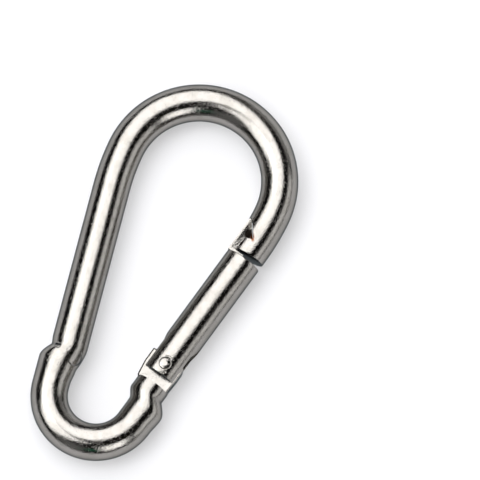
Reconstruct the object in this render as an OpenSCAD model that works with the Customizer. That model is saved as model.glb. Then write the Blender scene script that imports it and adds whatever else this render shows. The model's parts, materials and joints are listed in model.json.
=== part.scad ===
// Spring snap carabiner, lying flat. Y runs from the small eye to the big bow, the gate is on +X,
// and the hook rests on z = 0. Millimetres.

/* [Hook] */
// Diameter of the round bar that the hook is bent from
bar_d = 11; // [9:0.5:12]
// Length over everything
hook_len = 120; // [105:1:140]
// Width over the big bow
bow_w = 58.5; // [54:0.5:64]
// Clear diameter of the small eye
eye_bore = 16.5; // [14:0.5:19]
// Centreline radius that eases the bow into each straight leg
ease_r = 67.5; // [50:0.5:90]

/* [Cranks beside the small eye] */
// Sideways step of the bar at each crank
crank_step = 2.4; // [1.6:0.1:3]
// Room between the two creases of a crank, added to the tightest bend of the bar
crank_slack = 0.2; // [0.1:0.1:1]
// Straight stretch from the small eye to the crank on the plain side
spine_heel = 6.4; // [3:0.1:9]
// Straight stretch from the small eye to the crank under the gate
hinge_heel = 4.3; // [2:0.1:7]
// Round stretch between that crank and the flattened tongue
hinge_shank = 1.2; // [0.2:0.1:3]

/* [Tongue under the gate] */
// Thickness of the flattened tongue
tongue_t = 5; // [4:0.1:5.4]
// Width of the tongue at the shoulder
tongue_neck_w = 10.2; // [9.6:0.1:10.6]
// How far the tongue reaches out of the gate on its inner side, from the rivet
tongue_inner = 5.8; // [5.6:0.1:6]
// How far it reaches on its outer side
tongue_outer = 5.3; // [5:0.1:5.4]
// Distance from the round bar's shoulder up to the rivet
tongue_below = 6.5; // [6.4:0.1:8]
// Distance from the rivet up to the tongue's flat tip
tongue_above = 4.2; // [3.8:0.1:5]
// Radius of the tongue's outer top corner
tongue_corner_r = 3.6; // [2:0.1:3.8]
// Height over which the tongue swells to its full width
tongue_swell = 4.6; // [3:0.1:6]

/* [Nose and latch] */
// Straight stretch at the end of the nose
nose_straight = 2.3; // [0.5:0.1:4]
// Gap between the nose and the gate's rim
nose_gap = 1.5; // [1.3:0.1:2.6]
// Slant of the nose's end, so that the gap widens outwards
nose_slant = 5; // [0:1:6]
// Thickness of the claw across the hook's flat side
claw_t = 5.2; // [4:0.1:6]
// Width of the claw's shank, seen from above
claw_shank = 1.1; // [0.9:0.1:1.4]
// Height of the foot that carries the claw on the gate's rim
claw_foot = 0.7; // [0.5:0.1:0.7]
// Height of the barb's blunt edge
claw_edge = 1; // [0.5:0.1:2]
// How far the claw's barb reaches across the bar
claw_reach = 4.5; // [3.5:0.1:5]
// Height of the barb's catching face above the gate's rim
claw_catch = 5.6; // [4.6:0.1:6.4]
// Height of the claw's tip above the gate's rim
claw_tip = 11; // [10:0.1:12]
// Clearance round the claw in the nose
claw_clear = 0.35; // [0.3:0.05:0.45]

/* [Gate] */
// Wall of the gate's tube
gate_wall = 1.4; // [1.2:0.1:1.6]
// Distance from the rivet down to the gate's lower end
gate_below = 3.2; // [2.6:0.1:3.4]
// Clearance between the slots' edges and the tongue, on each side
slot_clear = 0.25; // [0.2:0.05:0.4]
// Length of the tapered end of the two slots
slot_taper = 2.8; // [2:0.1:6]
// Height of the slots where the taper ends
slot_end_h = 2.2; // [1.4:0.1:3]
// Thickness of the closed end that the spring bears on
cap_t = 2; // [1.5:0.1:3]
// Depth of that closed end below the rim
cap_sink = 1; // [0.6:0.1:2]
// Angle that the gate opens to
open_angle = 36; // [25:1:38]

/* [Rivet] */
// Diameter of the rivet's shank
rivet_d = 2.8; // [2.4:0.1:3.4]
// Radial running clearance of the tongue on the rivet
rivet_play = 0.05; // [0.02:0.01:0.1]
// Width of the upset head's rim outside the shank
rivet_lip = 0.4; // [0.2:0.1:0.6]
// Depth of the dimples that the two heads sit in
dimple_depth = 0.9; // [0.6:0.1:0.9]

/* [Plunger and spring] */
// Travel of the plunger while the gate opens fully
plunger_travel = 1.6; // [1:0.05:1.6]
// Thickness of the plunger's head
plunger_head_t = 1.6; // [1:0.1:2.5]
// Diameter of the plunger's stem
plunger_stem_d = 3.6; // [2.5:0.1:4.4]
// Length of the plunger's stem
plunger_stem_len = 9; // [5:0.5:14]
// Radial clearance of the plunger and the spring in the gate
bore_clear = 0.2; // [0.15:0.05:0.3]
// Diameter of the spring's wire
spring_wire_d = 1.2; // [0.8:0.1:1.4]
// Number of turns in the spring
spring_turns = 12; // [8:1:16]

/* [Hidden] */

ROUND_FN = 96;
SPRING_STEPS = 20;
SPRING_SIDES = 8;
CAM_STEPS = 8;
// Gap left where two pieces bear on each other
SEAT = 0.05;
// Overrun of a cutting solid past the face that it cuts
CUT = 1;
RADIAN = 180 / PI;

bar_r = bar_d / 2;
bow_r = bow_w / 2 - bar_r;
eye_r = (eye_bore + bar_d) / 2;
bow_y = hook_len / 2 - bar_r - bow_r;
eye_y = -hook_len / 2 + bar_r + eye_r;

// Angle between each leg and the hook's axis: the leg leaves the easing arc and, moved out by the
// crank's step, is tangent to the small eye.
ease_x = ease_r - bow_r;
centre_gap = bow_y - eye_y;
leg_angle = atan2(centre_gap, ease_x)
    - acos((ease_r + crank_step - eye_r) / norm([ease_x, centre_gap]));

crank_r = bar_r + crank_slack;
crank_turn = acos(1 - crank_step / (2 * crank_r));
crank_len = 2 * crank_r * sin(crank_turn);

// Where the small eye's arc ends, and where the easing arc of the bow ends, on the +X side
eye_end = [eye_r * cos(leg_angle), eye_y - eye_r * sin(leg_angle)];
ease_end = [bow_r - ease_r * (1 - cos(leg_angle)), bow_y - ease_r * sin(leg_angle)];
leg_dir = [sin(leg_angle), cos(leg_angle)];
leg_out = [cos(leg_angle), -sin(leg_angle)];
leg_len = (ease_end - eye_end) * leg_dir;

// The rivet's axis, and heights above it along the gate
pivot_rise = hinge_heel + crank_len + hinge_shank + tongue_below;
pivot = eye_end + pivot_rise * leg_dir - crank_step * leg_out;
nose_u = leg_len - pivot_rise - nose_straight;
nose_spare = bar_d * tan(nose_slant);
rim_u = nose_u - nose_gap;
cap_u = rim_u - cap_sink - cap_t;
catch_u = rim_u + claw_catch;
tip_u = rim_u + claw_tip;

tube_r = bar_r - gate_wall;
cam_k = plunger_travel * RADIAN / open_angle;
face_u = tongue_above + SEAT;
slot_h = tongue_t + 2 * slot_clear;
slot_full_u = tongue_above + plunger_travel + 2 * slot_clear;
gate_corner_r = tongue_below - 2 * slot_clear;
rivet_r = rivet_d / 2;
head_r = rivet_r + rivet_lip;
plunger_r = tube_r - bore_clear;
spring_r = tube_r - bore_clear - spring_wire_d / 2;
back_u = face_u + plunger_head_t;
spring_low_u = back_u + spring_wire_d / 2 + SEAT;
spring_high_u = cap_u - spring_wire_d / 2 - SEAT;
spring_pitch = (spring_high_u - spring_low_u - 2 * spring_wire_d) / (spring_turns - 2);

// Point of the tongue's cam whose normal is turned by a degrees: an involute, so the plunger's
// flat face rises by the same amount for each degree that the gate opens.
function cam_reach(a) = tongue_above + cam_k * a / RADIAN;
function cam_point(a) = [
    -cam_reach(a) * sin(a) - cam_k * cos(a),
    cam_reach(a) * cos(a) - cam_k * sin(a)
];

// Height of the spring's wire after n turns: the first and the last turn lie closed
function spring_rise(n) = spring_low_u
    + min(n, 1) * spring_wire_d
    + max(0, min(n, spring_turns - 1) - 1) * spring_pitch
    + max(0, n - spring_turns + 1) * spring_wire_d;
function spring_point(n, a) = let (out = spring_r + spring_wire_d / 2 * cos(a)) [
    out * cos(360 * n),
    spring_rise(n) + spring_wire_d / 2 * sin(a),
    out * sin(360 * n)
];

// Round solid along +Y
module rod(radius, from, len) {
    translate([0, from, 0])
        rotate([-90, 0, 0])
            cylinder(r = radius, h = len, $fn = ROUND_FN);
}

// Half of space, y > 0, as far as a bend of this radius reaches
module ahead(radius) {
    reach = radius + bar_d;
    translate([-reach, 0, -bar_d])
        cube([2 * reach, reach, 2 * bar_d]);
}

// The bar is laid stretch by stretch: each starts at the origin along +Y, and its children go on
// from its end, so that neighbours meet on one and the same circle.
module run(len) {
    rod(bar_r, 0, len);
    translate([0, len, 0])
        children();
}

module bend_left(radius, turn) {
    translate([-radius, 0, 0]) {
        intersection() {
            rotate_extrude($fn = 2 * ROUND_FN)
                translate([radius, 0])
                    circle(r = bar_r, $fn = ROUND_FN);
            ahead(radius);
            rotate([0, 0, turn])
                mirror([0, 1, 0])
                    ahead(radius);
        }
        rotate([0, 0, turn])
            translate([radius, 0, 0])
                children();
    }
}

module bend_right(radius, turn) {
    mirror([1, 0, 0])
        bend_left(radius, turn)
            mirror([1, 0, 0])
                children();
}

// Frame of the gate: origin on the rivet's axis at half height, +Y up the gate, +X outwards
module on_gate() {
    translate([pivot.x, pivot.y, bar_r])
        rotate([0, 0, -leg_angle])
            children();
}

// Solid between two heights either side of the hook's mid-plane
module plate(thickness) {
    translate([0, 0, -thickness / 2])
        linear_extrude(thickness)
            children();
}

// Outline of the tongue seen from above
module tongue_outline() {
    neck = tongue_neck_w / 2;
    root = sqrt(pow(bar_r, 2) - pow(tongue_t / 2, 2)) - CUT / 2;
    corner = [tongue_outer, tongue_above] - [tongue_corner_r, tongue_corner_r];
    polygon([
        [-root, -tongue_below - CUT],
        [-neck, -tongue_below - CUT / 2],
        [-tongue_inner, tongue_swell - tongue_below],
        [-tongue_inner, cam_point(open_angle).y - CUT],
        for (i = [CAM_STEPS:-1:0]) cam_point(open_angle * i / CAM_STEPS),
        for (a = [90:-15:0]) corner + tongue_corner_r * [cos(a), sin(a)],
        [tongue_outer, tongue_swell - tongue_below],
        [neck, -tongue_below - CUT / 2],
        [root, -tongue_below - CUT]
    ]);
}

// Outline of the claw seen from above, standing on the gate's rim
module claw_outline() {
    inner = -bar_r;
    polygon([
        [inner, rim_u],
        [inner, tip_u],
        [inner + claw_shank / 2, tip_u],
        [inner + claw_reach, catch_u + claw_edge],
        [inner + claw_reach, catch_u],
        [inner + claw_shank, catch_u],
        [inner + claw_shank, rim_u + claw_foot],
        [inner + claw_reach, rim_u + claw_foot],
        [inner + claw_reach, rim_u - cap_sink - cap_t / 2],
        [inner + 2 * gate_wall, rim_u - cap_sink - cap_t / 2],
        [inner + 2 * gate_wall, rim_u]
    ]);
}

// What the nose loses: all below its slanted end, and the claw's outline with its clearance, open inwards
module nose_cut_outline() {
    far = -bar_r - 2 * CUT;
    flank = -bar_r + claw_shank + claw_clear;
    deep = -bar_r + claw_reach + claw_clear;
    polygon([
        [far, nose_u - CUT],
        [flank, nose_u - CUT],
        [flank, catch_u - claw_clear],
        [deep, catch_u - claw_clear],
        [deep, catch_u + claw_edge + claw_clear],
        [flank - claw_shank / 2, tip_u + claw_clear],
        [far, tip_u + claw_clear]
    ]);
    translate([0, nose_u])
        rotate(nose_slant)
            translate([-bar_d, -bar_d])
                square([2 * bar_d, bar_d]);
}

// From below the nose's slanted end, over the big bow and down the spine
module bar_from_nose() {
    run(nose_straight + nose_spare)
        bend_left(ease_r, leg_angle)
            bend_left(bow_r, 180)
                bend_left(ease_r, leg_angle)
                    run(leg_len - crank_len - spine_heel)
                        bar_from_spine();
}

// On from the spine's foot, round the small eye and up to the hinge's shoulder
module bar_from_spine() {
    bend_right(crank_r, crank_turn)
        bend_left(crank_r, crank_turn)
            run(spine_heel)
                bend_left(eye_r, 180 - 2 * leg_angle)
                    run(hinge_heel)
                        bend_left(crank_r, crank_turn)
                            bend_right(crank_r, crank_turn)
                                run(hinge_shank);
}

module body() {
    color([0.74, 0.73, 0.71])
        on_gate()
            difference() {
                union() {
                    translate([0, nose_u - nose_spare, 0])
                        bar_from_nose();
                    plate(tongue_t)
                        tongue_outline();
                }
                plate(bar_d + 2 * CUT)
                    nose_cut_outline();
                cylinder(r = rivet_r + rivet_play, h = bar_d, center = true, $fn = ROUND_FN);
            }
}

// Side view of the two slots: full height past the tongue, then a taper to a round end
module slot_outline() {
    end_r = slot_end_h / 2;
    end_u = slot_full_u + slot_taper;
    polygon([
        [-gate_below - CUT, -slot_h / 2],
        [slot_full_u, -slot_h / 2],
        [end_u, -end_r],
        [end_u, end_r],
        [slot_full_u, slot_h / 2],
        [-gate_below - CUT, slot_h / 2]
    ]);
    translate([end_u, 0])
        circle(r = end_r, $fn = ROUND_FN);
}

// Plan of the gate's tube: its lower corners are rounded about the rivet, to swing past the shoulder
module gate_plan() {
    circle(r = gate_corner_r, $fn = ROUND_FN);
    translate([-bar_d, 0])
        square([2 * bar_d, tip_u]);
}

// Dimple for the rivet's upper head, with a sloping wall
module dimple() {
    floor_r = head_r + SEAT;
    translate([0, 0, bar_r - dimple_depth])
        cylinder(r1 = floor_r, r2 = floor_r + dimple_depth + CUT, h = dimple_depth + CUT, $fn = ROUND_FN);
}

module tube() {
    difference() {
        intersection() {
            rod(bar_r, -gate_below, rim_u + gate_below);
            plate(bar_d + 2 * CUT)
                gate_plan();
        }
        rod(tube_r, -gate_below - CUT, cap_u + gate_below + CUT);
        rod(tube_r, rim_u - cap_sink, cap_sink + CUT);
    }
}

module gate() {
    color([0.76, 0.75, 0.72])
        on_gate()
            difference() {
                union() {
                    tube();
                    plate(claw_t)
                        claw_outline();
                }
                rotate([90, 0, 90])
                    plate(bar_d + 2 * CUT)
                        slot_outline();
                cylinder(r = rivet_r + SEAT / 2, h = bar_d, center = true, $fn = ROUND_FN);
                dimple();
                mirror([0, 0, 1])
                    dimple();
            }
}

module rivet() {
    color([0.80, 0.79, 0.77])
        on_gate()
            intersection() {
                sphere(r = bar_r - SEAT, $fn = ROUND_FN);
                union() {
                    cylinder(r = rivet_r, h = bar_d, center = true, $fn = ROUND_FN);
                    for (low = [-bar_r, bar_r - dimple_depth + SEAT])
                        translate([0, 0, low])
                            cylinder(r = head_r, h = dimple_depth - SEAT, $fn = ROUND_FN);
                }
            }
}

module plunger() {
    color([0.55, 0.55, 0.56])
        on_gate() {
            rod(plunger_r, face_u, plunger_head_t);
            rod(plunger_stem_d / 2, back_u, plunger_stem_len);
        }
}

module spring() {
    last = spring_turns * SPRING_STEPS;
    color([0.62, 0.63, 0.65])
        on_gate()
            polyhedron(
                points = [
                    for (i = [0:last], j = [0:SPRING_SIDES - 1])
                        spring_point(i / SPRING_STEPS, 360 * j / SPRING_SIDES)
                ],
                faces = [
                    [for (j = [0:SPRING_SIDES - 1]) j],
                    for (i = [0:last - 1], j = [0:SPRING_SIDES - 1])
                        let (k = (j + 1) % SPRING_SIDES, a = i * SPRING_SIDES, b = a + SPRING_SIDES)
                            [a + j, b + j, b + k, a + k],
                    [for (j = [SPRING_SIDES - 1:-1:0]) last * SPRING_SIDES + j]
                ]
            );
}

body();
gate();
rivet();
plunger();
spring();
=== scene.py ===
"""Spring snap carabiner: the visible model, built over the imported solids.

The hook lies flat on z = 0, with the small eye towards -Y, the big bow towards +Y and the gate on +X.
Lengths are metres, and MM turns a size in millimetres into metres. Places on the gate's side are given
in the gate's own frame: along the gate from the rivet, outwards from the gate's axis, and above the
hook's middle plane. Places on the spine mirror them.
"""

import json
import logging
import math
from collections.abc import Callable, Sequence
from dataclasses import dataclass, field
from enum import Enum

import bpy
from mathutils import Matrix, Vector


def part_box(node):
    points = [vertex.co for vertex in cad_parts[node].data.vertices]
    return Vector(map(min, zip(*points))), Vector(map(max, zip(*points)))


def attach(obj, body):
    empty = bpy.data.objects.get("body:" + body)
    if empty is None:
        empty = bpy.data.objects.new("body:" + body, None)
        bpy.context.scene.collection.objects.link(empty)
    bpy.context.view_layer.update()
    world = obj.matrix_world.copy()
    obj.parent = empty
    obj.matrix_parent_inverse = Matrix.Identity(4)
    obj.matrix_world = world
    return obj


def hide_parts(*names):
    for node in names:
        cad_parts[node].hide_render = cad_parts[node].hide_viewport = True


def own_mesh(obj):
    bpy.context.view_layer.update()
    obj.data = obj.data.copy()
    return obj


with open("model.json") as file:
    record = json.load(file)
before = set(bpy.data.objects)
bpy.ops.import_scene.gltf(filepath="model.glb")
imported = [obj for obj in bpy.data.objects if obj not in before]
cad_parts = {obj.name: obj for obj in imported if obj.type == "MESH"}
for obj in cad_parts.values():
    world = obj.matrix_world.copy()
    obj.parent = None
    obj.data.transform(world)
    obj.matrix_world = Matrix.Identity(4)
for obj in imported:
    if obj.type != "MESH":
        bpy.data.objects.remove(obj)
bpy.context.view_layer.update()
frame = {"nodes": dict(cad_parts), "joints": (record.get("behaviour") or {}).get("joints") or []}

LOG = logging.getLogger("carabiner")

MM = 0.001
# A vertex this near to a level or a line counts as being on it
ON = 0.01 * MM
# Vertices nearer to each other than this are merged
WELD = 0.002 * MM
# Faces that meet at a smaller angle than this are shaded as one surface
SMOOTH = math.radians(35)

Point = tuple[float, float]
Test = Callable[[Vector], bool]
Socket = bpy.types.NodeSocket


# ---------------------------------------------------------------------------------------------
# The lines that the pieces are set out from


@dataclass(frozen=True)
class SettingOut:
    """The hook's main lines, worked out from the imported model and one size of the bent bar."""

    bar_r: float
    pivot: Vector
    up: Vector
    out: Vector
    lean: float
    bow_r: float
    bow_y: float
    eye_r: float
    eye_y: float
    travel: float
    # How far under the round skin a point still counts as being on it
    skin_slack: float = 0.03 * MM

    @classmethod
    def from_frame(cls, eye_bore: float) -> "SettingOut":
        """Reads the rivet's axis and the gate's direction from the joints, and the rest from the box.

        Args:
            eye_bore: clear diameter of the small eye.

        Returns:
            The hook's lines.
        """
        joints = {joint["name"]: joint for joint in frame["joints"]}
        low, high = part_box("body")
        bar_r = (high.z - low.z) / 2
        up = Vector(joints["plunger_slide"]["axis"]).normalized()
        eye_r = eye_bore / 2 + bar_r
        bow_r = high.x - bar_r
        return cls(
            bar_r=bar_r,
            pivot=Vector(joints["gate_hinge"]["pos_m"]),
            up=up,
            out=Vector((up.y, -up.x, 0)),
            lean=math.atan2(up.x, up.y),
            bow_r=bow_r,
            bow_y=high.y - bar_r - bow_r,
            eye_r=eye_r,
            eye_y=low.y + bar_r + eye_r,
            travel=joints["plunger_slide"]["range_m"][1],
        )

    def at(self, along: float, outward: float, above: float = 0.0) -> Vector:
        """Turns a place in the gate's frame into a point of the whole hook's frame."""
        return self.pivot + along * self.up + outward * self.out + Vector((0, 0, above))

    def beside_spine(self, along: float, outward: float) -> Vector:
        """Returns the place on the spine's side that mirrors a place in the gate's frame."""
        place = self.at(along, outward)
        return Vector((-place.x, place.y, place.z))

    def along(self, point: Vector) -> float:
        """Returns how far up the gate's line a point is, from the rivet."""
        return (point - self.pivot).dot(self.up)

    def outward(self, point: Vector) -> float:
        """Returns how far outside the gate's line a point is."""
        return (point - self.pivot).dot(self.out)

    def on_skin(self, point: Vector) -> bool:
        """Says whether a point lies on the round outside of the gate or of the leg in line with it."""
        reach = math.hypot(self.outward(point), point.z - self.pivot.z)
        return reach > self.bar_r - self.skin_slack

    def eye_side(self) -> Vector:
        """Returns where the small eye's arc ends, on the gate's side of the bar's centre line."""
        x, y = self.eye_r * math.cos(self.lean), self.eye_y - self.eye_r * math.sin(self.lean)
        return Vector((x, y, self.pivot.z))


# ---------------------------------------------------------------------------------------------
# Modelling by hand: small steps in object mode and edit mode


class Part(Enum):
    """What a selection in edit mode is made of."""

    VERTS = "VERT"
    EDGES = "EDGE"
    FACES = "FACE"


class Join(Enum):
    """How two solids are combined."""

    FUSE = "UNION"
    CUT = "DIFFERENCE"
    KEEP_COMMON = "INTERSECT"


def object_mode() -> None:
    """Leaves edit mode and deselects everything."""
    if bpy.context.mode != "OBJECT":
        bpy.ops.object.mode_set(mode="OBJECT")
    bpy.ops.object.select_all(action="DESELECT")


def hold(piece: bpy.types.Object) -> None:
    """Makes a piece the only selected and active object.

    Args:
        piece: the piece.
    """
    object_mode()
    piece.select_set(True)
    bpy.context.view_layer.objects.active = piece


def name_new(name: str) -> bpy.types.Object:
    """Names the primitive that was just added and settles its place in its mesh.

    Args:
        name: name of the piece and of its mesh.

    Returns:
        The piece, at the origin.
    """
    piece = bpy.context.object
    piece.name = piece.data.name = name
    bpy.ops.object.transform_apply(location=True, rotation=True, scale=True)
    return piece


def select_parts(piece: bpy.types.Object, part: Part, test: Test) -> int:
    """Selects the vertices, edges or faces that lie wholly where a test says, in edit mode.

    Args:
        piece: the piece, which is left in edit mode.
        part: what is selected.
        test: says whether a vertex at that place belongs to the selection.

    Returns:
        How many were selected.
    """
    hold(piece)
    bpy.ops.object.mode_set(mode="EDIT")
    bpy.ops.mesh.select_mode(type=part.value)
    bpy.ops.mesh.select_all(action="DESELECT")
    bpy.ops.object.mode_set(mode="OBJECT")
    mesh = piece.data
    inside = [test(vertex.co) for vertex in mesh.vertices]
    items = {Part.VERTS: mesh.vertices, Part.EDGES: mesh.edges, Part.FACES: mesh.polygons}[part]
    count = 0
    for item in items:
        corners = [item.index] if part is Part.VERTS else item.vertices
        item.select = all(inside[corner] for corner in corners)
        count += item.select
    bpy.ops.object.mode_set(mode="EDIT")
    return count


def combine(piece: bpy.types.Object, tool: bpy.types.Object, how: Join) -> None:
    """Cuts a piece with a tool, or fuses the two, and removes the tool.

    Args:
        piece: the piece, which is changed.
        tool: the other closed solid.
        how: how the two are combined.
    """
    hold(piece)
    modifier = piece.modifiers.new(tool.name, "BOOLEAN")
    modifier.object = tool
    modifier.operation = how.value
    modifier.solver = "EXACT"
    bpy.ops.object.modifier_apply(modifier=modifier.name)
    bpy.data.objects.remove(tool)


def break_edges(piece: bpy.types.Object, width: float, segments: int, test: Test) -> None:
    """Rounds over the edges that lie wholly where a test says.

    Args:
        piece: the piece.
        width: how far the rounding reaches from each edge.
        segments: how many faces it has across.
        test: says whether a vertex at that place belongs to the edges.
    """
    if select_parts(piece, Part.EDGES, test):
        bpy.ops.mesh.bevel(offset=width, segments=segments, affect="EDGES", clamp_overlap=True)
    object_mode()


def finish_mesh(piece: bpy.types.Object, smooth_angle: float = SMOOTH) -> None:
    """Merges doubles, turns all faces outwards and shades the round parts smooth.

    Args:
        piece: the piece.
        smooth_angle: faces that meet at a smaller angle are shaded as one surface.
    """
    select_parts(piece, Part.VERTS, lambda _: True)
    bpy.ops.mesh.remove_doubles(threshold=WELD)
    bpy.ops.mesh.normals_make_consistent(inside=False)
    hold(piece)
    bpy.ops.object.shade_smooth_by_angle(angle=smooth_angle)


def slab(name: str, outline: Sequence[Vector], depth: Vector) -> bpy.types.Object:
    """Draws an outline point by point, fills it and extrudes it.

    Args:
        name: name of the new piece.
        outline: corners of the outline, in order.
        depth: the extrusion, from the outline's plane.

    Returns:
        A closed solid.
    """
    object_mode()
    bpy.ops.mesh.primitive_plane_add(size=MM, location=outline[0])
    piece = name_new(name)
    bpy.ops.object.mode_set(mode="EDIT")
    bpy.ops.mesh.select_mode(type="VERT")
    bpy.ops.mesh.select_all(action="SELECT")
    bpy.ops.mesh.merge(type="CENTER")
    for start, end in zip(outline, outline[1:]):
        bpy.ops.mesh.extrude_region_move(TRANSFORM_OT_translate={"value": end - start})
    bpy.ops.mesh.select_all(action="SELECT")
    bpy.ops.mesh.edge_face_add()
    bpy.ops.mesh.extrude_region_move(TRANSFORM_OT_translate={"value": depth})
    bpy.ops.mesh.select_all(action="SELECT")
    bpy.ops.mesh.normals_make_consistent(inside=False)
    object_mode()
    return piece


def arc_points(centre: Point, radius: float, start: float, end: float, steps: int) -> list[Point]:
    """Works out points along an arc.

    Args:
        centre: centre of the arc.
        radius: its radius.
        start: angle of its first point, in degrees.
        end: angle of its last point, in degrees.
        steps: how many straight bits it has.

    Returns:
        The points, with both ends.
    """
    points = []
    for step in range(steps + 1):
        angle = math.radians(start + (end - start) * step / steps)
        points.append((centre[0] + radius * math.cos(angle), centre[1] + radius * math.sin(angle)))
    return points


def clamp(share: float) -> float:
    """Keeps a share between 0 and 1."""
    return min(max(share, 0.0), 1.0)


def sudden(share: float) -> float:
    """Goes from 0 to 1 as share does, with a crease at its start and none at its end."""
    return math.sin(math.pi / 2 * clamp(share))


def ease(share: float) -> float:
    """Goes smoothly from 0 to 1 as share does."""
    share = clamp(share)
    return share * share * (3 - 2 * share)


# ---------------------------------------------------------------------------------------------
# Pieces in general


@dataclass
class BarPen:
    """A ring of edges that is drawn along a path in edit mode and leaves a round skin behind it."""

    piece: bpy.types.Object
    at: Vector
    heading: float

    @classmethod
    def start(cls, name: str, at: Vector, heading: float, radius: float, sides: int) -> "BarPen":
        """Adds the first ring.

        Args:
            name: name of the new piece.
            at: centre of the ring.
            heading: direction of the path, in radians to the left of +Y.
            radius: radius of the ring.
            sides: number of its edges.

        Returns:
            A pen in edit mode, with the ring selected.
        """
        object_mode()
        bpy.ops.mesh.primitive_circle_add(
            vertices=sides, radius=radius, location=at, rotation=(math.pi / 2, 0, heading)
        )
        piece = name_new(name)
        bpy.ops.object.mode_set(mode="EDIT")
        bpy.ops.mesh.select_mode(type="EDGE")
        bpy.ops.mesh.select_all(action="SELECT")
        return cls(piece, at.copy(), heading)

    def ahead(self) -> Vector:
        """Returns the path's direction."""
        return Vector((-math.sin(self.heading), math.cos(self.heading), 0))

    def right(self) -> Vector:
        """Returns the direction to the right of the path, which is the outer side of the hook."""
        return Vector((math.cos(self.heading), math.sin(self.heading), 0))

    def run(self, length: float, steps: int) -> None:
        """Draws a straight stretch.

        Args:
            length: length of the stretch.
            steps: number of rings.
        """
        for _ in range(steps):
            step = self.ahead() * (length / steps)
            bpy.ops.mesh.extrude_region_move(TRANSFORM_OT_translate={"value": step})
            self.at += step

    def bend_left(self, radius: float, turn: float, steps: int) -> None:
        """Draws an arc to the left.

        Args:
            radius: radius of the path.
            turn: how far it turns, in radians.
            steps: number of rings.
        """
        centre = self.at - radius * self.right()
        bpy.ops.mesh.spin(steps=steps, angle=turn, center=centre, axis=(0, 0, -1))
        self.heading += turn
        self.at = centre + radius * self.right()

    def press(
        self, length: float, steps: int, outer: Callable[[float], float], inner: Callable[[float], float]
    ) -> None:
        """Draws a stretch whose two sides follow their own lines, as where the bar is pressed in a die.

        Args:
            length: length of the stretch.
            steps: number of rings.
            outer: reach of the bar to the right of the path, for a distance along the stretch.
            inner: its reach to the left.
        """
        axes = Matrix.Rotation(self.heading, 3, "Z")
        origin = self.at.copy()
        wide = outer(0) + inner(0)
        shift = (outer(0) - inner(0)) / 2
        for step in range(1, steps + 1):
            gone = length * step / steps
            next_wide = outer(gone) + inner(gone)
            next_shift = (outer(gone) - inner(gone)) / 2
            move = self.ahead() * (length / steps) + self.right() * (next_shift - shift)
            bpy.ops.mesh.extrude_region_move(TRANSFORM_OT_translate={"value": move})
            bpy.ops.transform.resize(
                value=(next_wide / wide, 1, 1),
                orient_type="GLOBAL",
                orient_matrix=axes,
                orient_matrix_type="GLOBAL",
                center_override=origin + self.ahead() * gone + self.right() * next_shift,
            )
            wide, shift = next_wide, next_shift
        self.at = origin + self.ahead() * length + self.right() * shift

    def close(self) -> bpy.types.Object:
        """Fills the open ends and turns all faces outwards.

        Returns:
            The piece, in object mode.
        """
        bpy.ops.mesh.select_all(action="SELECT")
        bpy.ops.mesh.fill_holes(sides=0)
        bpy.ops.mesh.select_all(action="SELECT")
        bpy.ops.mesh.normals_make_consistent(inside=False)
        object_mode()
        return self.piece


@dataclass
class Piece:
    """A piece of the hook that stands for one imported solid."""

    lines: SettingOut

    def build(self) -> bpy.types.Object:
        """Builds the piece's mesh."""
        raise NotImplementedError

    def install(
        self, material: bpy.types.Material, *, node: str, body: str, slot: str
    ) -> bpy.types.Object:
        """Builds and dresses the piece and puts it in the place of its solid.

        Args:
            material: the piece's finish.
            node: the solid that it stands for.
            body: the body that it moves with.
            slot: not used.

        Returns:
            The piece.
        """
        piece = self.build()
        dress(piece, material)
        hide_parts(node)
        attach(piece, body)
        LOG.info("%s: %d faces of %s on %s", piece.name, len(piece.data.polygons), material.name, body)
        return piece


def dress(piece: bpy.types.Object, material: bpy.types.Material) -> None:
    """Gives a piece one material all over."""
    piece.data.materials.clear()
    piece.data.materials.append(material)


# ---------------------------------------------------------------------------------------------
# The bent bar


@dataclass(frozen=True)
class ClawSizes:
    """Sizes that the gate's claw and the nose's notch share, measured from the gate's rim and skin."""

    gap: float = 1.5 * MM
    shank: float = 2.3 * MM
    foot: float = 0.8 * MM
    edge: float = 1.0 * MM
    reach: float = 4.4 * MM
    catch: float = 5.3 * MM
    catch_slope: float = 0.6 * MM
    tip: float = 11.0 * MM
    tip_w: float = 0.7 * MM
    thick: float = 5.2 * MM


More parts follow.
